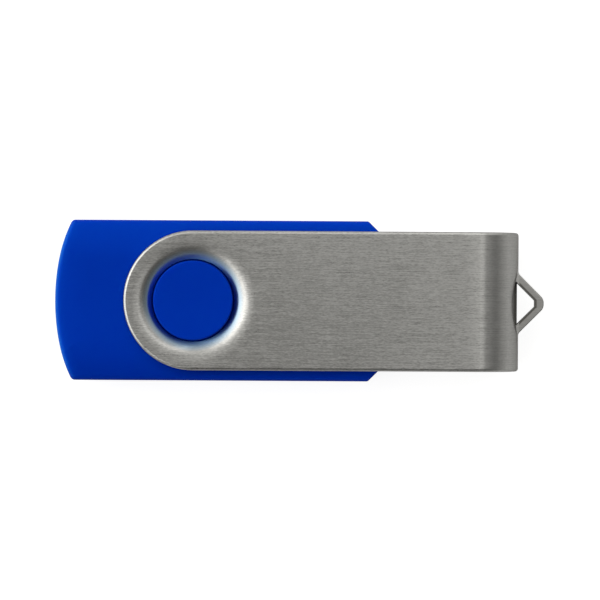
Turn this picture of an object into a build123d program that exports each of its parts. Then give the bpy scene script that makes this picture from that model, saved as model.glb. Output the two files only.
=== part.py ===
"""USB flash drive with a folded steel swivel clip.

Frame: +X along the drive towards the lanyard loop, +Y across it, +Z up.
The origin is the centre of the bounding box's bottom face, so the drive lies on its clip at Z = 0.
All lengths are millimetres.
"""

import math
import os

from build123d import *

os.makedirs("parts", exist_ok=True)

# ---------------------------------------------------------------- driving dimensions
LENGTH = 58.0  # tip of the bow to tip of the lanyard loop
MID = 5.0  # parting plane of the housing and mid-plane of the clip

# clip
CLIP_T = 0.8  # sheet thickness
CLIP_H = 10.0  # over both leaves
CLIP_HALF_W = 8.25
PIVOT_X = -12.65
CLIP_END_X = 26.05
LEAD_R, LEAD_TILT = 40.0, 2.0  # radius and end slope of the gentle lead-in before the fold
FOLD_R = (MID - LEAD_R * (1 - math.cos(math.radians(LEAD_TILT)))) / math.cos(math.radians(LEAD_TILT))
FOLD_X = CLIP_END_X - FOLD_R  # centre of the fold
LEAD_X = FOLD_X - (LEAD_R - FOLD_R) * math.sin(math.radians(LEAD_TILT))
RIM_OUTER_R = 7.2  # where the leaf starts to dip towards the rim
RIM_CREASE_R = 6.37  # where the dip turns over into the rim
RIM_DIP = 0.042
RIM_CREASE_SLOPE = 8.0  # degrees
RIM_BORE_R = 4.9  # inside radius of the rim
RIM_Z = 8.55  # lower edge of the rim
RIM_TOP_Z, RIM_END_SLOPE = 9.07, 47.0  # inner end of the dished surface
CLIP_EDGE_R = 0.35
LOOP_LOW_Z, LOOP_HIGH_Z = 4.1, 6.5  # lower and upper edge of the strip that makes the loop
LOOP_Y = -0.15  # the loop sits a little to one side of the clip's centreline
LOOP_TIP_X = LENGTH / 2
LOOP_T = 0.85
LENS_HALF_Y = 3.3
LENS_TOP_Z = 7.76

# housing
BOW_X = -LENGTH / 2
FRONT_X = 10.4
HALF_W = 9.5
CORNER_CUT = 2.34
BOW_A, BOW_B = 6.35, 13.03  # half axes of the elliptical bow
FACE_Z = 9.0  # flat of the broad face
CROWN_Y = 4.6  # the broad face falls away outside this line
CROWN_DROP = 0.8
END_CROWN, END_DROP = 3.0, 0.4  # and towards the bow
EDGE_R = 0.65
BOW_R = 0.6
FRONT_R = 0.3
WALL = 1.3
CEIL_Z = 7.8
GROOVE_R = 6.7
GROOVE_Z = 8.3
DISC_R = 4.7
DISC_Z = 9.75
PAD_R, PAD_Z = 7.7, 7.3
POCKET_R, POCKET_Z = 3.4, 8.6
LIP_IN, LIP_H, LIP_GAP = 0.7, 0.6, 0.05
SEAM = 0.09
RIB_XS = (-17.0, -3.0)
HOOK_XS = (-10.0, 4.0)
PIN_SPOTS = ((7.4, 7.2), (7.4, -7.2), (-26.2, 0.0))

# plug
PLUG_W, PLUG_H, PLUG_T = 12.0, 4.5, 0.3
PLUG_TIP_X = FRONT_X + 12.0
PLUG_REAR_X = 6.2
LEG_X = 3.6
TONGUE_TIP_X = 21.6
BLOCK_X = 10.9
TONGUE_Z = 5.0
CONTACT_BOTTOM, CONTACT_TOP = 4.78, 5.04
CONTACT_W = 1.0
CONTACTS = ((-3.5, 20.6), (-1.0, 19.6), (1.0, 19.6), (3.5, 20.6))
TAIL_X = 2.9

# board
BOARD_TOP, BOARD_BOTTOM = 4.78, 3.78
BOARD_LEFT, BOARD_RIGHT, BOARD_HALF_W = -25.2, 6.0, 7.4
FLASH_X = -10.0
CONTROLLER_X = 1.0
CRYSTAL_X, CRYSTAL_Z = -23.2, BOARD_TOP + 1.02


def housing_plan(inset, z):
    """Outline of the housing seen from above, moved in by inset."""
    cut = inset * math.sqrt(2) - inset
    w, f, c = HALF_W - inset, FRONT_X - inset, CORNER_CUT - (inset - cut)
    with BuildSketch(Plane.XY.offset(z)) as plan:
        with Locations((BOW_X + BOW_A, 0)):
            Ellipse(BOW_A - inset, BOW_B - inset)
        with Locations((BOW_X + BOW_A / 2, 0)):
            Rectangle(BOW_A, 2 * w, mode=Mode.INTERSECT)
        with BuildLine():
            x0 = BOW_X + BOW_A - 1
            Polyline(
                (x0, -w), (f - c, -w), (f, -w + c), (f, w - c), (f - c, w), (x0, w),
                close=True,
            )
        make_face()
    return plan.sketch


def block(x0, x1, y0, y1, z0, z1, mode=Mode.ADD):
    """Square-cornered block between two opposite corners, joined to the part being made."""
    with BuildSketch(Plane.XY.offset(z0)) as foot:
        with Locations(((x0 + x1) / 2, (y0 + y1) / 2)):
            Rectangle(x1 - x0, y1 - y0)
    extrude(foot.sketch, amount=z1 - z0, mode=mode)


def post(x, y, r, z0, z1, mode=Mode.ADD):
    """Round post or hole along Z."""
    with BuildSketch(Plane.XY.offset(z0)) as foot:
        with Locations((x, y)):
            Circle(r)
    extrude(foot.sketch, amount=z1 - z0, mode=mode)


def save(builder, name):
    builder.part.label = name
    export_step(builder.part, f"parts/{name}.step")


# ---------------------------------------------------------------- housing blank, upper half
with BuildPart() as housing_blank:
    with BuildSketch(Plane.YZ.offset(BOW_X - 1)) as section:
        with BuildLine():
            Line((0, MID), (HALF_W, MID))
            Line((HALF_W, MID), (HALF_W, FACE_Z - CROWN_DROP))
            TangentArc((CROWN_Y, FACE_Z), (HALF_W, FACE_Z - CROWN_DROP), tangent=(1, 0))
            Line((0, FACE_Z), (CROWN_Y, FACE_Z))
            Line((0, FACE_Z), (0, MID))
        make_face()
        fillet(
            [v for v in section.vertices() if abs(v.X - HALF_W) < 1e-6 and v.Y > MID + 1],
            EDGE_R,
        )
        mirror(about=Plane.YZ)
    extrude(amount=FRONT_X - BOW_X + 2)
    # the broad face also falls away towards the bow
    with BuildSketch(Plane.XZ):
        with BuildLine():
            xe = BOW_X + END_CROWN
            Line((BOW_X - 1, MID - 1), (FRONT_X + 2, MID - 1))
            Line((FRONT_X + 2, MID - 1), (FRONT_X + 2, FACE_Z + 1))
            Line((FRONT_X + 2, FACE_Z + 1), (xe + 1, FACE_Z + 1))
            Line((xe + 1, FACE_Z + 1), (xe + 1, FACE_Z))
            Line((xe + 1, FACE_Z), (xe, FACE_Z))
            TangentArc((xe, FACE_Z), (BOW_X - 1, FACE_Z - END_DROP), tangent=(-1, 0))
            Line((BOW_X - 1, FACE_Z - END_DROP), (BOW_X - 1, MID - 1))
        make_face()
    extrude(amount=HALF_W + 1, both=True, mode=Mode.INTERSECT)
    with BuildSketch(Plane.XY.offset(MID - 1)) as plan:
        with Locations((BOW_X + BOW_A, 0)):
            Ellipse(BOW_A, BOW_B)
        with Locations((BOW_X + BOW_A / 2, 0)):
            Rectangle(BOW_A, 2 * HALF_W + 2, mode=Mode.INTERSECT)
        with BuildLine():
            x0, w = BOW_X + BOW_A - 1, HALF_W + 1
            Polyline(
                (x0, -w), (FRONT_X - CORNER_CUT - 1, -w), (FRONT_X, -HALF_W + CORNER_CUT),
                (FRONT_X, HALF_W - CORNER_CUT), (FRONT_X - CORNER_CUT - 1, w), (x0, w),
                close=True,
            )
        make_face()
    extrude(amount=6.0, mode=Mode.INTERSECT)
    bow_faces = housing_blank.faces().filter_by(
        lambda f: f.center().X < -27.5 and f.normal_at().X < -0.9
    )
    fillet(
        [
            e
            for f in bow_faces
            for e in f.edges()
            if e.center().Z > MID + 1e-3
            and not (e.geom_type == GeomType.LINE and abs(e.center().Y) < 0.1)
        ],
        BOW_R,
    )
    fillet(
        housing_blank.edges().filter_by(
            lambda e: e.center().X > 7.9
            and e.center().Z > MID + 1e-3
            and not (e.geom_type == GeomType.LINE and abs(abs(e.center().Y) - CROWN_Y) < 1e-2)
        ),
        FRONT_R,
    )

# ---------------------------------------------------------------- upper housing
with BuildPart() as upper_housing:
    add(housing_blank.part)
    # hairline bevel where the two halves meet
    chamfer(
        upper_housing.edges().filter_by(lambda e: abs(e.center().Z - MID) < 1e-4),
        SEAM,
    )
    # ring groove that the clip's rolled rim turns in, and the disc inside it
    post(PIVOT_X, 0, GROOVE_R, GROOVE_Z, FACE_Z + 1, mode=Mode.SUBTRACT)
    post(PIVOT_X, 0, DISC_R, GROOVE_Z, DISC_Z)
    fillet(
        upper_housing.edges().filter_by(
            lambda e: e.geom_type == GeomType.CIRCLE
            and abs(e.radius - DISC_R) < 1e-3
            and e.center().Z > DISC_Z - 0.1
        ),
        0.18,
    )
    # inside
    extrude(housing_plan(WALL, MID - 0.01), amount=CEIL_Z - MID + 0.01, mode=Mode.SUBTRACT)
    post(PIVOT_X, 0, PAD_R, PAD_Z, CEIL_Z + 0.1)
    post(PIVOT_X, 0, POCKET_R, PAD_Z - 0.1, POCKET_Z, mode=Mode.SUBTRACT)
    # step that takes the lower half's lip
    extrude(housing_plan(LIP_IN - LIP_GAP, MID - 0.01), amount=LIP_H + LIP_GAP + 0.06, mode=Mode.SUBTRACT)
    # opening for the plug
    block(FRONT_X - 2.2, FRONT_X + 1, -PLUG_W / 2 - 0.06, PLUG_W / 2 + 0.06, MID - 0.1, MID + PLUG_H / 2 + 0.05, mode=Mode.SUBTRACT)
    # rib that presses on the plug
    block(7.0, 8.2, -5.0, 5.0, MID + PLUG_H / 2 + 0.02, CEIL_Z + 0.1)
    for side in (-1, 1):
        for x in RIB_XS:
            ys = sorted((side * 6.6, side * 8.08))
            block(x - 0.5, x + 0.5, ys[0], ys[1], BOARD_TOP + 0.02, CEIL_Z + 0.1)
            ys = sorted((side * 7.9, side * 8.3))
            block(x - 0.5, x + 0.5, ys[0], ys[1], MID + 1.0, CEIL_Z + 0.1)
        for x in HOOK_XS:
            ys = sorted((side * 7.47, side * 8.1))
            block(x - 1.5, x + 1.5, ys[0], ys[1], 3.3, CEIL_Z + 0.1)
            ys = sorted((side * 8.0, side * 8.3))
            block(x - 1.5, x + 1.5, ys[0], ys[1], MID + 1.4, CEIL_Z + 0.1)
            with BuildSketch(Plane.YZ.offset(x - 1.5)) as bead:
                with BuildLine():
                    Polyline(
                        (side * 8.05, 3.35), (side * 8.1, 3.35), (side * 8.48, 4.0),
                        (side * 8.48, 4.2), (side * 8.1, 4.3), (side * 8.05, 4.3),
                        close=True,
                    )
                make_face()
            extrude(amount=3.0)
    for x, y in PIN_SPOTS:
        post(x, y, 0.7, MID + 0.05, CEIL_Z + 0.1)
        post(x, y, 0.45, 3.2, MID + 0.2)
save(upper_housing, "upper_housing")

# ---------------------------------------------------------------- lower housing
with BuildPart() as lower_housing:
    add(mirror(housing_blank.part, about=Plane.XY.offset(MID)))
    chamfer(
        lower_housing.edges().filter_by(lambda e: abs(e.center().Z - MID) < 1e-4),
        SEAM,
    )
    post(PIVOT_X, 0, GROOVE_R, 2 * MID - FACE_Z - 1, 2 * MID - GROOVE_Z, mode=Mode.SUBTRACT)
    post(PIVOT_X, 0, DISC_R, 2 * MID - DISC_Z, 2 * MID - GROOVE_Z)
    fillet(
        lower_housing.edges().filter_by(
            lambda e: e.geom_type == GeomType.CIRCLE
            and abs(e.radius - DISC_R) < 1e-3
            and e.center().Z < 2 * MID - DISC_Z + 0.1
        ),
        0.18,
    )
    extrude(housing_plan(WALL, 2 * MID - CEIL_Z), amount=CEIL_Z - MID + 0.01, mode=Mode.SUBTRACT)
    post(PIVOT_X, 0, PAD_R, 2 * MID - CEIL_Z - 0.1, 2 * MID - PAD_Z)
    post(PIVOT_X, 0, POCKET_R, 2 * MID - POCKET_Z, 2 * MID - PAD_Z + 0.1, mode=Mode.SUBTRACT)
    # raised lip round the rim
    with BuildSketch(Plane.XY.offset(MID - 0.3)) as lip:
        add(housing_plan(LIP_IN, 0))
        add(housing_plan(WALL, 0), mode=Mode.SUBTRACT)
    extrude(amount=LIP_H + 0.3)
    block(FRONT_X - 2.2, FRONT_X + 1, -PLUG_W / 2 - 0.06, PLUG_W / 2 + 0.06, MID - PLUG_H / 2 - 0.05, MID + 1, mode=Mode.SUBTRACT)
    block(7.0, 8.2, -5.0, 5.0, 2 * MID - CEIL_Z - 0.1, MID - PLUG_H / 2 - 0.02)
    for side in (-1, 1):
        for x in RIB_XS:
            ys = sorted((side * 6.6, side * 8.3))
            block(x - 0.5, x + 0.5, ys[0], ys[1], 2 * MID - CEIL_Z - 0.1, BOARD_BOTTOM - 0.02)
            ys = sorted((side * 7.45, side * 8.3))
            block(x - 0.5, x + 0.5, ys[0], ys[1], 2 * MID - CEIL_Z - 0.1, BOARD_TOP - 0.04)
        for x in HOOK_XS:
            ys = sorted((side * 8.0, side * 8.56))
            block(x - 1.6, x + 1.6, ys[0], ys[1], 3.2, 4.38, mode=Mode.SUBTRACT)
    for x, y in PIN_SPOTS:
        post(x, y, 0.95 if x > 0 else 0.78, 2 * MID - CEIL_Z - 0.1, MID - 0.05)
        post(x, y, 0.5, 2.9, MID, mode=Mode.SUBTRACT)
save(lower_housing, "lower_housing")

# ---------------------------------------------------------------- lanyard loop, a strip of the clip's own sheet
with BuildPart() as loop_strip:
    with BuildSketch(Plane((0, LOOP_Y, LOOP_LOW_Z))) as loop:
        with BuildLine():
            xo, yo = CLIP_END_X - 0.07, 3.57
            ti = LOOP_T * math.sqrt(2)
            tip_y = yo - (LOOP_TIP_X - xo)
            inner_x = LOOP_TIP_X - 1.02
            inner_y = yo - ti - (inner_x - xo)
            Polyline(
                (CLIP_END_X - 0.72, 5.0), (CLIP_END_X - 0.14, 5.0), (xo, yo),
                (LOOP_TIP_X, tip_y), (LOOP_TIP_X, -tip_y), (xo, -yo),
                (CLIP_END_X - 0.14, -5.0), (CLIP_END_X - 0.72, -5.0),
                (CLIP_END_X - 0.72, -(yo - ti + 0.62)),
                (inner_x, -inner_y), (inner_x, inner_y),
                (CLIP_END_X - 0.72, yo - ti + 0.62),
                close=True,
            )
        make_face()
        fillet([v for v in loop.vertices() if abs(v.X - LOOP_TIP_X) < 1e-6], 1.15)
        fillet([v for v in loop.vertices() if abs(v.X - xo) < 1e-6], 0.7)
        fillet([v for v in loop.vertices() if abs(v.X - inner_x) < 1e-6], 0.25)
    extrude(amount=LOOP_HIGH_Z - LOOP_LOW_Z)
    # broken edges on the outside of the loop; the eye keeps its sheared edges
    outside = [
        f for f in loop_strip.faces()
        if abs(f.normal_at().Z) < 0.1 and f.center().X > CLIP_END_X - 0.1
        and f.normal_at().X * (f.center().X - CLIP_END_X - 0.4) + f.normal_at().Y * (f.center().Y - LOOP_Y) > 0
    ]
    fillet([e for f in outside for e in f.edges() if abs(e.center().Z - (LOOP_LOW_Z + LOOP_HIGH_Z) / 2) > 1], 0.12)

# ---------------------------------------------------------------- swivel clip
with BuildPart() as swivel_clip:
    # sheet folded into a U
    with BuildSketch(Plane.XZ) as fold:
        with BuildLine():
            left = PIVOT_X - CLIP_HALF_W - 1
            for inset in (0, CLIP_T):
                lead = [
                    (
                        LEAD_X + (LEAD_R - inset) * math.sin(math.radians(t)),
                        inset + (LEAD_R - inset) * (1 - math.cos(math.radians(t))),
                    )
                    for t in (0, LEAD_TILT / 2, LEAD_TILT)
                ]
                over = [(x, CLIP_H - z) for x, z in lead]
                Line((left, inset), lead[0])
                ThreePointArc(*lead)
                ThreePointArc(lead[2], (CLIP_END_X - inset, MID), over[2])
                ThreePointArc(*over[::-1])
                Line(over[0], (left, CLIP_H - inset))
            Line((left, CLIP_H), (left, CLIP_H - CLIP_T))
            Line((left, CLIP_T), (left, 0))
        make_face()
    extrude(amount=CLIP_HALF_W, both=True)
    # round ends, concentric with the pivot
    with BuildSketch(Plane.XY.offset(-1)) as clip_plan:
        with Locations((PIVOT_X, 0)):
            Circle(CLIP_HALF_W)
        with Locations(((PIVOT_X + CLIP_END_X + 1) / 2, 0)):
            Rectangle(CLIP_END_X + 1 - PIVOT_X, 2 * CLIP_HALF_W)
    extrude(amount=CLIP_H + 2, mode=Mode.INTERSECT)
    # tumbled outer edges, lightly broken inner edges
    outer_faces = swivel_clip.faces().filter_by(
        lambda f: abs(f.center().Z - CLIP_H) < 1e-3
        or abs(f.center().Z) < 1e-3
        or (f.geom_type == GeomType.CYLINDER and (abs(f.radius - FOLD_R) < 1e-3 or abs(f.radius - LEAD_R) < 1e-3))
    )
    rim_edges = []
    for f in outer_faces:
        for e in f.edges():
            c = e.center()
            if e.geom_type == GeomType.LINE and abs(abs(c.Y) - CLIP_HALF_W) > 1e-3:
                continue  # shared with the next outer face
            rim_edges.append(e)
    fillet(rim_edges, CLIP_EDGE_R)
    # openings for the rolled rims
    post(PIVOT_X, 0, RIM_OUTER_R, -1, CLIP_H + 1, mode=Mode.SUBTRACT)
    # rolled rims, one in each leaf
    with BuildSketch(Plane.XZ) as rim:
        with BuildLine():
            k = 0.5523
            o = PIVOT_X
            tilt, steep = math.radians(RIM_CREASE_SLOPE), math.radians(RIM_END_SLOPE)
            crease = (o + RIM_CREASE_R, CLIP_H - RIM_DIP)
            Bezier(
                (o + RIM_OUTER_R, CLIP_H),
                (o + RIM_OUTER_R - 0.35, CLIP_H),
                (crease[0] + 0.25 * math.cos(tilt), crease[1] + 0.25 * math.sin(tilt)),
                crease,
            )
            Bezier(
                crease,
                (crease[0] - 0.35 * math.cos(tilt), crease[1] - 0.35 * math.sin(tilt)),
                (o + RIM_BORE_R + 0.95 * math.cos(steep), RIM_TOP_Z + 0.95 * math.sin(steep)),
                (o + RIM_BORE_R, RIM_TOP_Z),
            )
            Line((o + RIM_BORE_R, RIM_TOP_Z), (o + RIM_BORE_R, RIM_Z))
            Line((o + RIM_BORE_R, RIM_Z), (o + RIM_BORE_R + 0.68, RIM_Z))
            a2 = RIM_OUTER_R - RIM_BORE_R - 0.68
            b2 = CLIP_H - CLIP_T - (RIM_Z + 0.1)
            Line((o + RIM_BORE_R + 0.68, RIM_Z), (o + RIM_BORE_R + 0.68, RIM_Z + 0.1))
            Bezier(
                (o + RIM_BORE_R + 0.68, RIM_Z + 0.1),
                (o + RIM_BORE_R + 0.68, RIM_Z + 0.1 + k * b2),
                (o + RIM_OUTER_R - k * a2, CLIP_H - CLIP_T),
                (o + RIM_OUTER_R, CLIP_H - CLIP_T),
            )
            Line((o + RIM_OUTER_R, CLIP_H - CLIP_T), (o + RIM_OUTER_R, CLIP_H))
        make_face()
    revolve(axis=Axis((PIVOT_X, 0, 0), (0, 0, 1)))
    with BuildSketch(Plane.XZ) as low_rim:
        add(mirror(rim.sketch_local, about=Plane.XZ.offset(-MID)))
    revolve(axis=Axis((PIVOT_X, 0, 0), (0, 0, 1)))
    # eye-shaped opening in the fold that the loop's strip is pushed out of
    with BuildSketch(Plane.YZ.offset(CLIP_END_X - 2.6)) as lens:
        with BuildLine():
            y0, y1 = LOOP_Y - LENS_HALF_Y, LOOP_Y + LENS_HALF_Y
            z0, z1 = LOOP_LOW_Z - 0.06, LOOP_HIGH_Z + 0.06
            ThreePointArc((y0, z1), (LOOP_Y, LENS_TOP_Z), (y1, z1))
            Line((y1, z1), (y1, z0))
            Line((y1, z0), (y0, z0))
            Line((y0, z0), (y0, z1))
        make_face()
    extrude(amount=4, mode=Mode.SUBTRACT)
    # lanyard loop
    add(loop_strip.part)
save(swivel_clip, "swivel_clip")
print("clip", swivel_clip.part.volume, len(swivel_clip.solids()), swivel_clip.part.is_valid)

# ---------------------------------------------------------------- plug shell
with BuildPart() as plug_shell:
    with BuildSketch(Plane.YZ.offset(PLUG_REAR_X)) as tube:
        with Locations((0, MID)):
            RectangleRounded(PLUG_W, PLUG_H, 0.75)
            RectangleRounded(PLUG_W - 2 * PLUG_T, PLUG_H - 2 * PLUG_T, 0.45, mode=Mode.SUBTRACT)
    extrude(amount=PLUG_TIP_X - PLUG_REAR_X)
    # rolled lead-in at the mouth
    fillet(
        plug_shell.edges().filter_by(lambda e: abs(e.center().X - PLUG_TIP_X) < 1e-4),
        0.12,
    )
    # latch windows, two above and two below
    with BuildSketch(Plane.XY.offset(MID - 3)) as windows:
        with Locations(*[(PLUG_TIP_X - 6.1, y) for y in (-2.75, 2.75)]):
            RectangleRounded(2.0, 2.5, 0.15)
    extrude(amount=6, mode=Mode.SUBTRACT)
    # seam with a dovetail along the underside
    with BuildSketch(Plane.XY.offset(MID - PLUG_H / 2 - 0.2)) as seam:
        with BuildLine() as seam_line:
            Polyline(
                (PLUG_REAR_X - 0.5, 0), (PLUG_TIP_X - 9.4, 0), (PLUG_TIP_X - 9.8, 0.9),
                (PLUG_TIP_X - 7.8, 0.9), (PLUG_TIP_X - 8.2, 0), (PLUG_TIP_X + 0.5, 0),
            )
        trace(seam_line.line, 0.07)
    extrude(amount=0.7, mode=Mode.SUBTRACT)
    # solder legs that run back along the board
    for side in (-1, 1):
        ys = sorted((side * (PLUG_W / 2 - PLUG_T), side * PLUG_W / 2))
        block(LEG_X, PLUG_REAR_X + 0.4, ys[0], ys[1], 3.35, 6.1)
save(plug_shell, "plug_shell")

# ---------------------------------------------------------------- plug insulator
with BuildPart() as plug_insulator:
    block(PLUG_REAR_X + 0.1, TONGUE_TIP_X, -5.65, 5.65, MID - PLUG_H / 2 + PLUG_T + 0.02, TONGUE_Z)
    block(PLUG_REAR_X + 0.1, BLOCK_X, -5.65, 5.65, TONGUE_Z - 0.1, MID + PLUG_H / 2 - PLUG_T - 0.02)
    chamfer(
        plug_insulator.edges().filter_by(
            lambda e: abs(e.center().X - TONGUE_TIP_X) < 1e-4 and abs(abs((e % 0.5).Y) - 1) < 1e-3
        ),
        0.35,
    )
    fillet(
        plug_insulator.edges().filter_by(
            lambda e: abs(abs(e.center().Y) - 5.65) < 1e-3 and abs(abs((e % 0.5).X) - 1) < 1e-3
        ),
        0.42,
    )
    for y, front in CONTACTS:
        block(PLUG_REAR_X, front, y - CONTACT_W / 2, y + CONTACT_W / 2, CONTACT_BOTTOM, CONTACT_TOP, mode=Mode.SUBTRACT)
save(plug_insulator, "plug_insulator")

# ---------------------------------------------------------------- plug contacts
with BuildPart() as plug_contacts:
    for y, front in CONTACTS:
        with BuildSketch(Plane.XZ.offset(-(y - CONTACT_W / 2))) as strip:
            with BuildLine():
                Polyline(
                    (TAIL_X, CONTACT_BOTTOM), (front, CONTACT_BOTTOM),
                    (front, TONGUE_Z - 0.12), (front - 0.45, CONTACT_TOP),
                    (TAIL_X, CONTACT_TOP),
                    close=True,
                )
            make_face()
        extrude(amount=-CONTACT_W)
save(plug_contacts, "plug_contacts")

# ---------------------------------------------------------------- circuit board
with BuildPart() as circuit_board:
    with BuildSketch(Plane.XY.offset(BOARD_BOTTOM)) as board:
        with Locations(((BOARD_LEFT + BOARD_RIGHT) / 2, 0)):
            RectangleRounded(BOARD_RIGHT - BOARD_LEFT, 2 * BOARD_HALF_W, 0.8)
        # notches for the plug's legs
        with Locations((BOARD_RIGHT, 5.85), (BOARD_RIGHT, -5.85)):
            Rectangle(5.0, 0.5, mode=Mode.SUBTRACT)
        # crystal holes
        with Locations((CRYSTAL_X - 0.4, 3.9), (CRYSTAL_X + 0.4, 3.9)):
            Circle(0.24, mode=Mode.SUBTRACT)
        # vias
        with Locations((-20.9, -6.6), (-20.9, 6.6), (1.6, 6.6), (1.6, -6.6), (-24.4, -1.2), (-24.4, -2.4)):
            Circle(0.2, mode=Mode.SUBTRACT)
    extrude(amount=BOARD_TOP - BOARD_BOTTOM)
save(circuit_board, "circuit_board")


def gull_lead(reach, root_z, foot_z, width, thick=0.13, foot=0.5):
    """One gull-wing lead. Its root is at local x = 0 and it reaches outward along +x."""
    s = 1 if root_z > foot_z else -1
    bend = reach - foot
    with BuildPart() as lead:
        with BuildSketch(Plane.XZ.offset(-width / 2)) as profile:
            with BuildLine():
                Polyline(
                    (0, root_z), (bend, root_z), (bend + 0.12, foot_z + s * thick),
                    (reach, foot_z + s * thick), (reach, foot_z), (bend - 0.01, foot_z),
                    (bend - 0.13, root_z - s * thick), (0, root_z - s * thick),
                    close=True,
                )
            make_face()
        extrude(amount=width)
    return lead.part


# ---------------------------------------------------------------- flash memory chip
FLASH_L, FLASH_W = 18.4, 12.0
with BuildPart() as flash_chip:
    block(FLASH_X - FLASH_L / 2, FLASH_X + FLASH_L / 2, -FLASH_W / 2, FLASH_W / 2, BOARD_TOP + 0.1, BOARD_TOP + 1.1)
    chamfer(flash_chip.faces().sort_by(Axis.Z)[-1].edges(), 0.12)
    chamfer(flash_chip.faces().sort_by(Axis.Z)[0].edges(), 0.12)
    post(FLASH_X - FLASH_L / 2 + 1.4, -FLASH_W / 2 + 1.4, 0.5, BOARD_TOP + 1.02, BOARD_TOP + 1.3, mode=Mode.SUBTRACT)
save(flash_chip, "flash_memory_chip")

LEAD_R = gull_lead(0.8, BOARD_TOP + 0.66, BOARD_TOP, 0.22)
LEAD_L = mirror(LEAD_R, about=Plane.YZ)
with BuildPart() as flash_leads:
    with Locations(*[(FLASH_X + FLASH_L / 2, -5.75 + 0.5 * i, 0) for i in range(24)]):
        add(LEAD_R)
    with Locations(*[(FLASH_X - FLASH_L / 2, -5.75 + 0.5 * i, 0) for i in range(24)]):
        add(LEAD_L)
save(flash_leads, "flash_memory_leads")

# ---------------------------------------------------------------- controller chip, under the board
CONTROLLER_W = 7.0
with BuildPart() as controller:
    block(
        CONTROLLER_X - CONTROLLER_W / 2, CONTROLLER_X + CONTROLLER_W / 2, -CONTROLLER_W / 2, CONTROLLER_W / 2,
        BOARD_BOTTOM - 1.1, BOARD_BOTTOM - 0.1,
    )
    chamfer(controller.faces().sort_by(Axis.Z)[-1].edges(), 0.1)
    chamfer(controller.faces().sort_by(Axis.Z)[0].edges(), 0.1)
    post(CONTROLLER_X - 2.6, 2.6, 0.35, BOARD_BOTTOM - 1.3, BOARD_BOTTOM - 1.03, mode=Mode.SUBTRACT)
save(controller, "controller_chip")

LEAD_C = gull_lead(1.0, BOARD_BOTTOM - 0.66, BOARD_BOTTOM, 0.2)
with BuildPart() as controller_leads:
    for turn in range(4):
        spots = [
            Location((CONTROLLER_X, 0, 0), (0, 0, 90 * turn)) * Location((CONTROLLER_W / 2, -2.75 + 0.5 * i, 0))
            for i in range(12)
        ]
        with Locations(*spots):
            add(LEAD_C)
save(controller_leads, "controller_leads")

# ---------------------------------------------------------------- crystal
with BuildPart() as crystal_can:
    with BuildSketch(Plane.XZ.offset(3.4)) as can_end:
        with Locations((CRYSTAL_X, CRYSTAL_Z)):
            Circle(1.0)
    extrude(amount=-6.0)
    fillet(crystal_can.edges().filter_by(lambda e: e.center().Y < -3.3 and e.geom_type == GeomType.CIRCLE), 0.3)
    with BuildSketch(Plane.XZ.offset(-2.2)) as base_bead:
        with Locations((CRYSTAL_X, CRYSTAL_Z)):
            Circle(1.0)
            Circle(0.86, mode=Mode.SUBTRACT)
    extrude(amount=-0.2, mode=Mode.SUBTRACT)
save(crystal_can, "crystal_can")

with BuildPart() as crystal_leads:
    for x in (CRYSTAL_X - 0.4, CRYSTAL_X + 0.4):
        with BuildLine(Plane.YZ.offset(x)) as wire:
            FilletPolyline((2.6, CRYSTAL_Z), (3.9, CRYSTAL_Z), (3.9, BOARD_BOTTOM - 0.35), radius=0.4)
        with BuildSketch(Plane((x, 2.6, CRYSTAL_Z), x_dir=(1, 0, 0), z_dir=(0, 1, 0))) as wire_section:
            Circle(0.15)
        sweep(path=wire.line)
save(crystal_leads, "crystal_leads")

# ---------------------------------------------------------------- status lamp
LED_X, LED_Y = -22.9, 5.9
with BuildPart() as status_led:
    block(LED_X - 0.8, LED_X + 0.8, LED_Y - 0.4, LED_Y + 0.4, BOARD_TOP, BOARD_TOP + 0.25)
    block(LED_X - 0.5, LED_X + 0.5, LED_Y - 0.4, LED_Y + 0.4, BOARD_TOP + 0.2, BOARD_TOP + 0.6)
    fillet(status_led.edges().filter_by(lambda e: e.center().Z > BOARD_TOP + 0.59), 0.08)
save(status_led, "status_led")

# ---------------------------------------------------------------- voltage regulator
REG_X, REG_Y = -22.7, -5.6
with BuildPart() as regulator:
    block(REG_X - 0.65, REG_X + 0.65, REG_Y - 1.45, REG_Y + 1.45, BOARD_TOP + 0.08, BOARD_TOP + 1.05)
    chamfer(regulator.faces().sort_by(Axis.Z)[-1].edges(), 0.1)
save(regulator, "voltage_regulator")

REG_LEAD = gull_lead(0.6, BOARD_TOP + 0.62, BOARD_TOP, 0.4, foot=0.3)
REG_LEAD_L = mirror(REG_LEAD, about=Plane.YZ)
with BuildPart() as regulator_leads:
    with Locations((REG_X + 0.65, REG_Y - 0.95, 0), (REG_X + 0.65, REG_Y + 0.95, 0)):
        add(REG_LEAD)
    with Locations((REG_X - 0.65, REG_Y, 0)):
        add(REG_LEAD_L)
save(regulator_leads, "regulator_leads")

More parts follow.
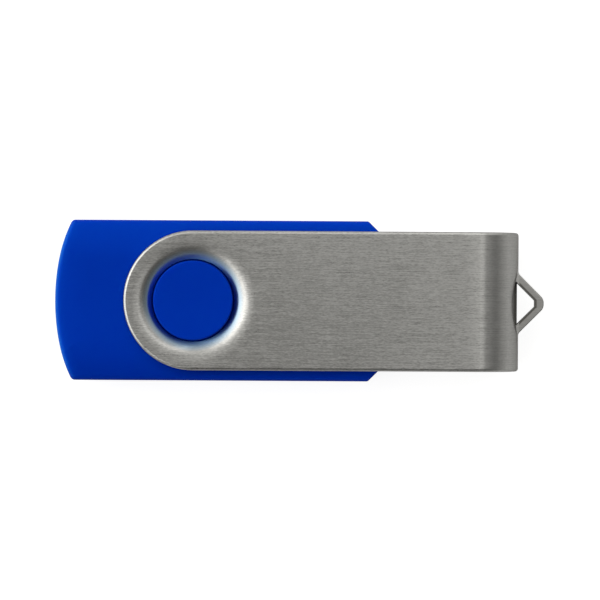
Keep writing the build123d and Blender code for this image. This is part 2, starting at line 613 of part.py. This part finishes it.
# ---------------------------------------------------------------- chip capacitors and resistors
CAP_SPOTS = [(1.4, y, BOARD_TOP, 1) for y in (-5.4, -1.0, 3.4)] + [(x, 3.6, BOARD_BOTTOM, -1) for x in (-6.2, -8.0)]
RES_SPOTS = [(1.4, y, BOARD_TOP, 1) for y in (-3.2, 1.2, 5.6)] + [(x, -3.6, BOARD_BOTTOM, -1) for x in (-6.2, -8.0, -9.8)]
TERMINAL = 0.32
with BuildPart() as capacitors:
    for x, y, z, up in CAP_SPOTS:
        zs = sorted((z, z + up * 0.75))
        block(x - 0.38, x + 0.38, y - 0.8 + TERMINAL, y + 0.8 - TERMINAL, zs[0], zs[1])
save(capacitors, "capacitors")
with BuildPart() as capacitor_terminals:
    for x, y, z, up in CAP_SPOTS:
        zs = sorted((z, z + up * 0.8))
        block(x - 0.42, x + 0.42, y - 0.8, y - 0.8 + TERMINAL, zs[0], zs[1])
        block(x - 0.42, x + 0.42, y + 0.8 - TERMINAL, y + 0.8, zs[0], zs[1])
    fillet(capacitor_terminals.edges().filter_by(lambda e: abs(abs((e % 0.5).Z) - 1) < 1e-3), 0.08)
save(capacitor_terminals, "capacitor_terminals")
with BuildPart() as resistors:
    for x, y, z, up in RES_SPOTS:
        zs = sorted((z, z + up * 0.42))
        block(x - 0.4, x + 0.4, y - 0.8 + TERMINAL, y + 0.8 - TERMINAL, zs[0], zs[1])
save(resistors, "resistors")
with BuildPart() as resistor_terminals:
    for x, y, z, up in RES_SPOTS:
        zs = sorted((z, z + up * 0.45))
        block(x - 0.4, x + 0.4, y - 0.8, y - 0.8 + TERMINAL, zs[0], zs[1])
        block(x - 0.4, x + 0.4, y + 0.8 - TERMINAL, y + 0.8, zs[0], zs[1])
save(resistor_terminals, "resistor_terminals")

# ---------------------------------------------------------------- solder joints
with BuildPart() as solder_joints:
    for y, front in CONTACTS:
        with BuildSketch(Plane.XY.offset(BOARD_TOP)) as pad:
            with Locations((TAIL_X + 0.9, y)):
                RectangleRounded(2.4, 1.7, 0.3)
        extrude(amount=0.2, taper=40)
    for side in (-1, 1):
        for z, up in ((BOARD_TOP, 1), (BOARD_BOTTOM, -1)):
            with BuildSketch(Plane.XY.offset(z)) as leg_pad:
                with Locations((LEG_X + 1.0, side * 5.85)):
                    RectangleRounded(2.4, 1.3, 0.3)
            extrude(amount=0.3 * up, taper=40)
    for x in (CRYSTAL_X - 0.4, CRYSTAL_X + 0.4):
        with BuildSketch(Plane.XY.offset(BOARD_BOTTOM)) as wire_pad:
            with Locations((x, 3.9)):
                Circle(0.36)
        extrude(amount=-0.3, taper=30)
    add(plug_contacts.part, mode=Mode.SUBTRACT)
    add(plug_shell.part, mode=Mode.SUBTRACT)
    add(crystal_leads.part, mode=Mode.SUBTRACT)
save(solder_joints, "solder_joints")
print("solder", len(solder_joints.solids()))
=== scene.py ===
import bpy, math
from mathutils import Vector, Matrix

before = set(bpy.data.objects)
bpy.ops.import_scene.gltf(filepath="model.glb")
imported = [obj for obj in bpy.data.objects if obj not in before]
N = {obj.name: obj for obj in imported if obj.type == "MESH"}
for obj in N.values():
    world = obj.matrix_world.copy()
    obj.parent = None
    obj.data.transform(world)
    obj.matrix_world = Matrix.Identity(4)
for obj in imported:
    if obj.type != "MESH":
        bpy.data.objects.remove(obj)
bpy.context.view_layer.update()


scene = bpy.context.scene
scene.view_settings.view_transform = "Standard"
scene.view_settings.look = "None"
scene.view_settings.exposure = 0.0
scene.view_settings.gamma = 1.0

# ------------------------------------------------------------------ camera, straight above
cam_data = bpy.data.cameras.new("camera")
cam_data.sensor_width = 36.0
cam_data.lens = 198.5
cam_data.clip_start = 0.01
cam_data.clip_end = 50
cam = bpy.data.objects.new("camera", cam_data)
scene.collection.objects.link(cam)
cam.location = (0.0, 0.000119, 0.400)
cam.rotation_euler = (0, 0, math.radians(0.34))
scene.camera = cam


# ------------------------------------------------------------------ light
KEY, PANEL, FAR, LAMP = 1.6, 0.36, 0.45, 0.56


world = bpy.data.worlds.new("studio")
scene.world = world
world.use_nodes = True
wt = world.node_tree


def wnode(kind, **props):
    n = wt.nodes.new(kind)
    for k, v in props.items():
        setattr(n, k, v)
    return n


def wmath(op, a, b=None):
    n = wnode("ShaderNodeMath", operation=op)
    for i, v in enumerate((a, b)):
        if v is None:
            continue
        if isinstance(v, (int, float)):
            n.inputs[i].default_value = v
        else:
            wt.links.new(v, n.inputs[i])
    return n.outputs[0]


def wstep(value, a, b, c=0.0, d=1.0):
    n = wnode("ShaderNodeMapRange", interpolation_type="SMOOTHSTEP")
    for key, v in zip(("From Min", "From Max", "To Min", "To Max"), (a, b, c, d)):
        n.inputs[key].default_value = v
    wt.links.new(value, n.inputs["Value"])
    return n.outputs["Result"]


# soft studio: a large softbox on the left, a ceiling panel towards +Y, a dimmer room round them
direction = wnode("ShaderNodeTexCoord").outputs["Generated"]
sep = wnode("ShaderNodeSeparateXYZ")
wt.links.new(direction, sep.inputs[0])
dx, dy, dz = sep.outputs
up = wmath("MAXIMUM", dz, 0.02)
gx, gy = wmath("DIVIDE", dx, up), wmath("DIVIDE", dy, up)


def toward(azimuth, zenith):
    a, z = math.radians(azimuth), math.radians(zenith)
    n = wnode("ShaderNodeVectorMath", operation="DOT_PRODUCT")
    wt.links.new(direction, n.inputs[0])
    n.inputs[1].default_value = (math.sin(z) * math.cos(a), math.sin(z) * math.sin(a), math.cos(z))
    return n.outputs["Value"]


cosd = lambda d: math.cos(math.radians(d))
room = wstep(dz, 0.0, 0.8, 0.37, 0.06)
softbox = wstep(toward(172, 50), cosd(46), cosd(14), 0.0, KEY)
lift = wmath("MULTIPLY", wmath("MULTIPLY", wstep(gx, -0.4, -0.03, 0.5, 0.0), wstep(wmath("ABSOLUTE", gy), 0.2, 0.6, 1.0, 0.0)), wstep(dz, 0.7, 0.9))
x_limit = wstep(wmath("SUBTRACT", gx, wmath("MULTIPLY", wmath("MAXIMUM", gy, 0.0), 2.2)), 0.2, 0.42, 1.0, 0.0)
panel = wmath("MULTIPLY", wmath("MULTIPLY", wstep(gy, -0.12, 0.16), x_limit), wstep(dz, 0.1, 0.95, 0.36, PANEL))
far_panel = wmath("MULTIPLY", wmath("MULTIPLY", wstep(gy, 0.1, 0.34, 0.0, FAR), x_limit), wstep(dz, 0.35, 0.85))
lamp = wmath("MULTIPLY", wmath("MULTIPLY", wstep(gx, 0.045, 0.15), wstep(gx, 0.24, 0.42, 1.0, 0.0)), wstep(gy, -0.14, -0.06, 0.0, LAMP))
total = room
for part in (softbox, lift, panel, far_panel, lamp):
    total = wmath("ADD", total, part)
bg = wt.nodes["Background"]
bg.inputs["Color"].default_value = (1.0, 0.99, 0.965, 1)
wt.links.new(total, bg.inputs["Strength"])
# behind the floor's far edge the backdrop is plain white
backdrop = wnode("ShaderNodeBackground")
backdrop.inputs["Color"].default_value = (1, 1, 1, 1)
backdrop.inputs["Strength"].default_value = 1.1
pick = wnode("ShaderNodeMixShader")
wt.links.new(wnode("ShaderNodeLightPath").outputs["Is Camera Ray"], pick.inputs[0])
wt.links.new(bg.outputs[0], pick.inputs[1])
wt.links.new(backdrop.outputs[0], pick.inputs[2])
wt.links.new(pick.outputs[0], wt.nodes["World Output"].inputs["Surface"])

# ------------------------------------------------------------------ floor
floor_mesh = bpy.data.meshes.new("floor")
floor_mesh.from_pydata([(-6, -6, -2e-5), (6, -6, -2e-5), (6, 6, -2e-5), (-6, 6, -2e-5)], [], [(0, 1, 2, 3)])
floor = bpy.data.objects.new("floor", floor_mesh)
scene.collection.objects.link(floor)
fm = bpy.data.materials.new("floor_paper")
fm.use_nodes = True
ft = fm.node_tree
b = ft.nodes["Principled BSDF"]
b.inputs["Base Color"].default_value = (0.42, 0.42, 0.42, 1)
b.inputs["Roughness"].default_value = 0.9
b.inputs["Specular IOR Level"].default_value = 0.0
b.inputs["Emission Color"].default_value = (1, 1, 1, 1)
glow = ft.nodes.new("ShaderNodeMapRange")
glow.inputs["To Min"].default_value = 0.12
glow.inputs["To Max"].default_value = 0.86
ft.links.new(ft.nodes.new("ShaderNodeLightPath").outputs["Is Camera Ray"], glow.inputs["Value"])
ft.links.new(glow.outputs["Result"], b.inputs["Emission Strength"])
floor_mesh.materials.append(fm)


# ------------------------------------------------------------------ materials
class Mat:
    """Small helper for node materials in object space."""

    def __init__(self, name):
        self.m = bpy.data.materials.new(name)
        self.m.use_nodes = True
        self.t = self.m.node_tree
        self.b = self.t.nodes["Principled BSDF"]
        self.co = self.t.nodes.new("ShaderNodeTexCoord").outputs["Object"]

    def node(self, kind, **props):
        n = self.t.nodes.new(kind)
        for k, v in props.items():
            setattr(n, k, v)
        return n

    def link(self, a, b):
        self.t.links.new(a, b)

    def set(self, **inputs):
        for k, v in inputs.items():
            self.b.inputs[k.replace("_", " ")].default_value = v

    def mapped(self, scale, rotation=(0, 0, 0), location=(0, 0, 0)):
        n = self.node("ShaderNodeMapping")
        n.inputs["Scale"].default_value = scale
        n.inputs["Rotation"].default_value = rotation
        n.inputs["Location"].default_value = location
        self.link(self.co, n.inputs["Vector"])
        return n.outputs["Vector"]

    def noise(self, vector, scale=1.0, detail=2.0, rough=0.5):
        n = self.node("ShaderNodeTexNoise")
        n.inputs["Scale"].default_value = scale
        n.inputs["Detail"].default_value = detail
        n.inputs["Roughness"].default_value = rough
        self.link(vector, n.inputs["Vector"])
        return n.outputs["Fac"]

    def remap(self, value, a, b, c, d, clamp=True):
        n = self.node("ShaderNodeMapRange")
        n.clamp = clamp
        for key, v in zip(("From Min", "From Max", "To Min", "To Max"), (a, b, c, d)):
            n.inputs[key].default_value = v
        self.link(value, n.inputs["Value"])
        return n.outputs["Result"]

    def math(self, op, a, b=None, c=None):
        n = self.node("ShaderNodeMath", operation=op)
        for i, v in enumerate((a, b, c)):
            if v is None:
                continue
            if isinstance(v, (int, float)):
                n.inputs[i].default_value = v
            else:
                self.link(v, n.inputs[i])
        return n.outputs[0]

    def ramp(self, value, stops):
        n = self.node("ShaderNodeValToRGB")
        els = n.color_ramp.elements
        while len(els) > 1:
            els.remove(els[-1])
        els[0].position, els[0].color = stops[0][0], (*stops[0][1], 1)
        for pos, col in stops[1:]:
            e = els.new(pos)
            e.color = (*col, 1)
        self.link(value, n.inputs["Fac"])
        return n.outputs["Color"]

    def bump(self, height, strength, distance, chain=None):
        n = self.node("ShaderNodeBump")
        n.inputs["Strength"].default_value = strength
        n.inputs["Distance"].default_value = distance
        self.link(height, n.inputs["Height"])
        if chain is not None:
            self.link(chain, n.inputs["Normal"])
        return n.outputs["Normal"]


def assign(obj, mat):
    obj.data.materials.clear()
    obj.data.materials.append(mat)


def srgb(r, g, b):
    return tuple(((c / 255) / 12.92 if c / 255 <= 0.04045 else ((c / 255 + 0.055) / 1.055) ** 2.4) for c in (r, g, b))


# brushed stainless sheet of the clip; the grain follows the sheet round its fold
def brushed_clip():
    k = Mat("brushed_steel_clip")
    xyz = k.node("ShaderNodeSeparateXYZ")
    k.link(k.co, xyz.inputs[0])
    x, y, z = xyz.outputs
    over = k.math("MAXIMUM", k.math("SUBTRACT", x, 0.02105), 0.0)
    rise = k.math("SUBTRACT", z, 0.005)
    turn = k.math("ARCTAN2", over, rise)
    along = k.math("ADD", k.math("MINIMUM", x, 0.02105), k.math("MULTIPLY", turn, 0.005))
    deep = k.math("MINIMUM", k.math("SQRT", k.math("ADD", k.math("MULTIPLY", over, over), k.math("MULTIPLY", rise, rise))), 0.005)
    flat = k.node("ShaderNodeCombineXYZ")
    for v, socket in zip((along, y, deep), flat.inputs):
        k.link(v, socket)
    k.co = flat.outputs[0]
    long = k.noise(k.mapped((110, 11000, 11000)), 1.0, 1.0, 0.5)
    middle = k.noise(k.mapped((480, 11500, 11500), location=(0.9, 0.2, 0.5)), 1.0, 1.0, 0.5)
    short = k.noise(k.mapped((2900, 12500, 12500), location=(0.3, 0.7, 0.1)), 1.0, 1.0, 0.5)
    cloud = k.noise(k.mapped((60, 110, 110)), 1.0, 2.0, 0.5)
    grain = k.math("ADD", k.math("ADD", k.math("MULTIPLY", long, 0.28), k.math("MULTIPLY", middle, 0.32)), k.math("MULTIPLY", short, 0.4))
    # the fold and the dish are stretched smooth, so the grain is fainter there
    from_pivot = k.math("SQRT", k.math("ADD", k.math("POWER", k.math("ADD", x, 0.01265), 2.0), k.math("MULTIPLY", y, y)))
    weight = k.math("MULTIPLY", k.remap(turn, 0.05, 0.3, 1.0, 0.45), k.remap(from_pivot, 0.0057, 0.0067, 0.3, 1.0))
    mix = k.math("ADD", k.math("MULTIPLY", k.math("SUBTRACT", grain, 0.5), weight), 0.5)
    tone = k.math("ADD", k.remap(mix, 0.3, 0.7, -0.05, 0.95), k.remap(cloud, 0.3, 0.7, 0.0, 0.1))
    # painted light: the leaf is painted lighter towards +Y and towards the fold, where the studio light falls more
    # brightly on it
    tone = k.math("ADD", tone, k.math("ADD", k.remap(y, -0.008, 0.008, -0.05, 0.05), k.remap(x, 0.006, 0.021, -0.02, 0.08)))
    steel = k.ramp(tone, [(0.28, (0.435, 0.434, 0.419)), (0.5, (0.56, 0.558, 0.54)), (0.72, (0.69, 0.688, 0.667))])
    # stands in for the blue disc's reflection in the polished dish round it
    tint = k.node("ShaderNodeMix", data_type="RGBA", blend_type="MULTIPLY", clamp_result=False)
    k.link(k.remap(from_pivot, 0.0049, 0.00605, 0.85, 0.0), tint.inputs["Factor"])
    k.link(steel, tint.inputs[6])
    tint.inputs[7].default_value = (0.33, 0.9, 1.5, 1)
    steel = tint.outputs[2]
    # painted shade: the cut face left where the loop was pushed out is painted dark, darkest towards +x, where it
    # lies in the clip's shade
    painted_shade_cut_face = k.math("MULTIPLY", k.remap(k.math("ABSOLUTE", k.math("SUBTRACT", z, 0.00404)), 0.00002, 0.00005, 1.0, 0.0), k.remap(x, 0.0251, 0.0257, 0.2, 1.0))
    painted_shade_cut_face = k.math("MULTIPLY", painted_shade_cut_face, k.remap(k.math("ABSOLUTE", y), 0.0034, 0.0036, 1.0, 0.0))
    blend = k.node("ShaderNodeMix", data_type="RGBA")
    k.link(painted_shade_cut_face, blend.inputs["Factor"])
    k.link(steel, blend.inputs[6])
    blend.inputs[7].default_value = (0.1, 0.097, 0.09, 1)
    # the loop is painted darker than the leaves, and painted shade darkens it fully at the edge of its sheared eye
    eye = k.math("ABSOLUTE", k.math("ADD", y, 0.00015))
    eye = k.math("MULTIPLY", k.math("SUBTRACT", k.math("ADD", x, eye), 0.02835), 0.707)
    eye = k.math("MAXIMUM", eye, k.math("SUBTRACT", x, 0.02798))
    darker_loop_and_painted_shade = k.math("MULTIPLY", k.remap(eye, 0.0001, 0.00024, 1.0, 0.26), k.remap(x, 0.02602, 0.02612, 0.0, 1.0))
    loop = k.node("ShaderNodeMix", data_type="RGBA")
    k.link(darker_loop_and_painted_shade, loop.inputs["Factor"])
    k.link(blend.outputs[2], loop.inputs[6])
    loop.inputs[7].default_value = (0.16, 0.155, 0.14, 1)
    k.link(loop.outputs[2], k.b.inputs["Base Color"])
    k.link(k.math("ADD", k.remap(mix, 0.3, 0.7, 0.26, 0.34), k.remap(from_pivot, 0.00505, 0.0056, 0.16, 0.0)), k.b.inputs["Roughness"])
    k.set(Metallic=1.0, Anisotropic=0.8, Specular_Tint=(0.75, 0.75, 0.73, 1))
    # the highlight stretches across the grain, and turns with the clip
    t = k.node("ShaderNodeVectorTransform", vector_type="VECTOR", convert_from="OBJECT", convert_to="WORLD")
    t.inputs["Vector"].default_value = (0.0, 1.0, 0.0)
    k.link(t.outputs[0], k.b.inputs["Tangent"])
    # the leaf begins to sink a little way outside the pressed dish
    sink = k.node("ShaderNodeMapRange", interpolation_type="SMOOTHSTEP")
    for key, v in zip(("From Min", "From Max"), (0.006, 0.0079)):
        sink.inputs[key].default_value = v
    k.link(from_pivot, sink.inputs["Value"])
    k.link(k.bump(mix, 0.06, 0.000008, k.bump(sink.outputs["Result"], 1.0, 0.00004)), k.b.inputs["Normal"])
    return k.m


# moulded blue plastic
def blue_plastic():
    k = Mat("moulded_blue_plastic")
    grain = k.noise(k.mapped((9000, 9000, 9000)), 1.0, 3.0, 0.55)
    cloud = k.noise(k.mapped((90, 90, 90)), 1.0, 2.0, 0.5)
    base = k.ramp(cloud, [(0.3, (0.0, 0.0335, 0.475)), (0.7, (0.0, 0.0375, 0.505))])

    def toward(base, amount, color):
        n = k.node("ShaderNodeMix", data_type="RGBA")
        k.link(amount, n.inputs["Factor"])
        k.link(base, n.inputs[6])
        n.inputs[7].default_value = (*color, 1)
        return n.outputs[2]

    # painted light and shade: the +Y edge is painted lighter and the -Y edge darker, as the light falls from +Y and
    # the clip shades the bottom; a painted glow at the bow's edge stands in for light let through the thin wall
    xyz = k.node("ShaderNodeSeparateXYZ")
    k.link(k.co, xyz.inputs[0])
    x, y, z = xyz.outputs
    # painted light: the +Y edge lighter
    base = toward(base, k.remap(y, 0.0045, 0.0098, 0.0, 1.0), (0.0, 0.048, 0.57))
    # painted shade: the -Y edge darker
    base = toward(base, k.remap(y, -0.0092, -0.0065, 0.8, 0.0), (0.0, 0.03, 0.425))
    # painted glow: lighter paint round the bow's edge stands in for light let through the thin wall
    ex = k.math("DIVIDE", k.math("MINIMUM", k.math("ADD", x, 0.02265), 0.0), 0.00635)
    ey = k.math("DIVIDE", y, 0.01303)
    edge = k.math("SQRT", k.math("ADD", k.math("MULTIPLY", ex, ex), k.math("MULTIPLY", ey, ey)))
    edge = k.math("MULTIPLY", edge, k.remap(x, -0.0245, -0.0235, 1.0, 0.0))
    level = k.remap(k.math("ABSOLUTE", k.math("SUBTRACT", z, 0.005)), 0.003, 0.0037, 0.0, 1.0)
    wide = k.math("MULTIPLY", k.math("POWER", k.remap(edge, 0.78, 1.0, 0.0, 1.0), 2.0), level)
    base = toward(base, k.math("MULTIPLY", wide, 0.8), (0.001, 0.075, 0.66))
    thin = k.math("MULTIPLY", k.math("POWER", k.remap(edge, 0.92, 1.0, 0.0, 1.0), 2.0), level)
    base = toward(base, k.math("MULTIPLY", thin, 0.85), (0.02, 0.24, 0.8))
    k.link(base, k.b.inputs["Base Color"])
    k.link(k.remap(grain, 0.3, 0.7, 0.36, 0.46), k.b.inputs["Roughness"])
    k.set(Specular_IOR_Level=0.15, Specular_Tint=(0.05, 0.45, 1.0, 1))
    k.set(Subsurface_Weight=0.5, Subsurface_Radius=(0.2, 0.6, 1.0), Subsurface_Scale=0.0009)
    k.link(k.bump(grain, 0.12, 0.00001), k.b.inputs["Normal"])
    return k.m


def plated(name, color, rough=(0.22, 0.34), grain=(3000, 3000, 3000), bump=0.1):
    k = Mat(name)
    n = k.noise(k.mapped(grain), 1.0, 3.0, 0.55)
    cloud = k.noise(k.mapped((400, 400, 400)), 1.0, 2.0, 0.5)
    dark = tuple(c * 0.86 for c in color)
    k.link(k.ramp(cloud, [(0.3, dark), (0.7, color)]), k.b.inputs["Base Color"])
    k.link(k.remap(n, 0.3, 0.7, *rough), k.b.inputs["Roughness"])
    k.set(Metallic=1.0)
    k.link(k.bump(n, bump, 0.00001), k.b.inputs["Normal"])
    return k.m


def moulded(name, color, rough=(0.45, 0.6), grain=(5000, 5000, 5000), bump=0.15, spread=0.85):
    k = Mat(name)
    n = k.noise(k.mapped(grain), 1.0, 3.0, 0.55)
    cloud = k.noise(k.mapped((500, 500, 500)), 1.0, 2.0, 0.5)
    k.link(k.ramp(cloud, [(0.3, tuple(c * spread for c in color)), (0.7, color)]), k.b.inputs["Base Color"])
    k.link(k.remap(n, 0.3, 0.7, *rough), k.b.inputs["Roughness"])
    k.link(k.bump(n, bump, 0.00001), k.b.inputs["Normal"])
    return k.m


blue = blue_plastic()
assign(N["upper_housing"], blue)
assign(N["lower_housing"], blue)
assign(N["swivel_clip"], brushed_clip())
assign(N["plug_shell"], plated("nickel_plated_shell", (0.72, 0.71, 0.69), grain=(600, 6000, 6000)))
assign(N["plug_insulator"], moulded("white_insulator", (0.82, 0.82, 0.79)))
assign(N["plug_contacts"], plated("gilt_contacts", (0.92, 0.66, 0.27), grain=(900, 9000, 9000)))
assign(N["circuit_board"], moulded("solder_mask", (0.02, 0.14, 0.045), rough=(0.25, 0.4)))
epoxy = moulded("black_epoxy", (0.022, 0.022, 0.024), rough=(0.5, 0.7))
for n in ("flash_memory_chip", "controller_chip", "voltage_regulator"):
    assign(N[n], epoxy)
tin = plated("tinned_leads", (0.75, 0.75, 0.74))
for n in ("flash_memory_leads", "controller_leads", "regulator_leads", "crystal_leads", "capacitor_terminals", "resistor_terminals"):
    assign(N[n], tin)
assign(N["crystal_can"], plated("drawn_nickel_can", (0.7, 0.68, 0.64), grain=(5000, 700, 5000)))
assign(N["status_led"], moulded("led_resin", (0.85, 0.8, 0.6), rough=(0.15, 0.25)))
assign(N["capacitors"], moulded("fired_ceramic", (0.36, 0.2, 0.1)))
assign(N["resistors"], moulded("resistor_coat", (0.02, 0.02, 0.022), rough=(0.25, 0.4)))
assign(N["solder_joints"], plated("bright_solder", (0.7, 0.7, 0.72), rough=(0.15, 0.3)))
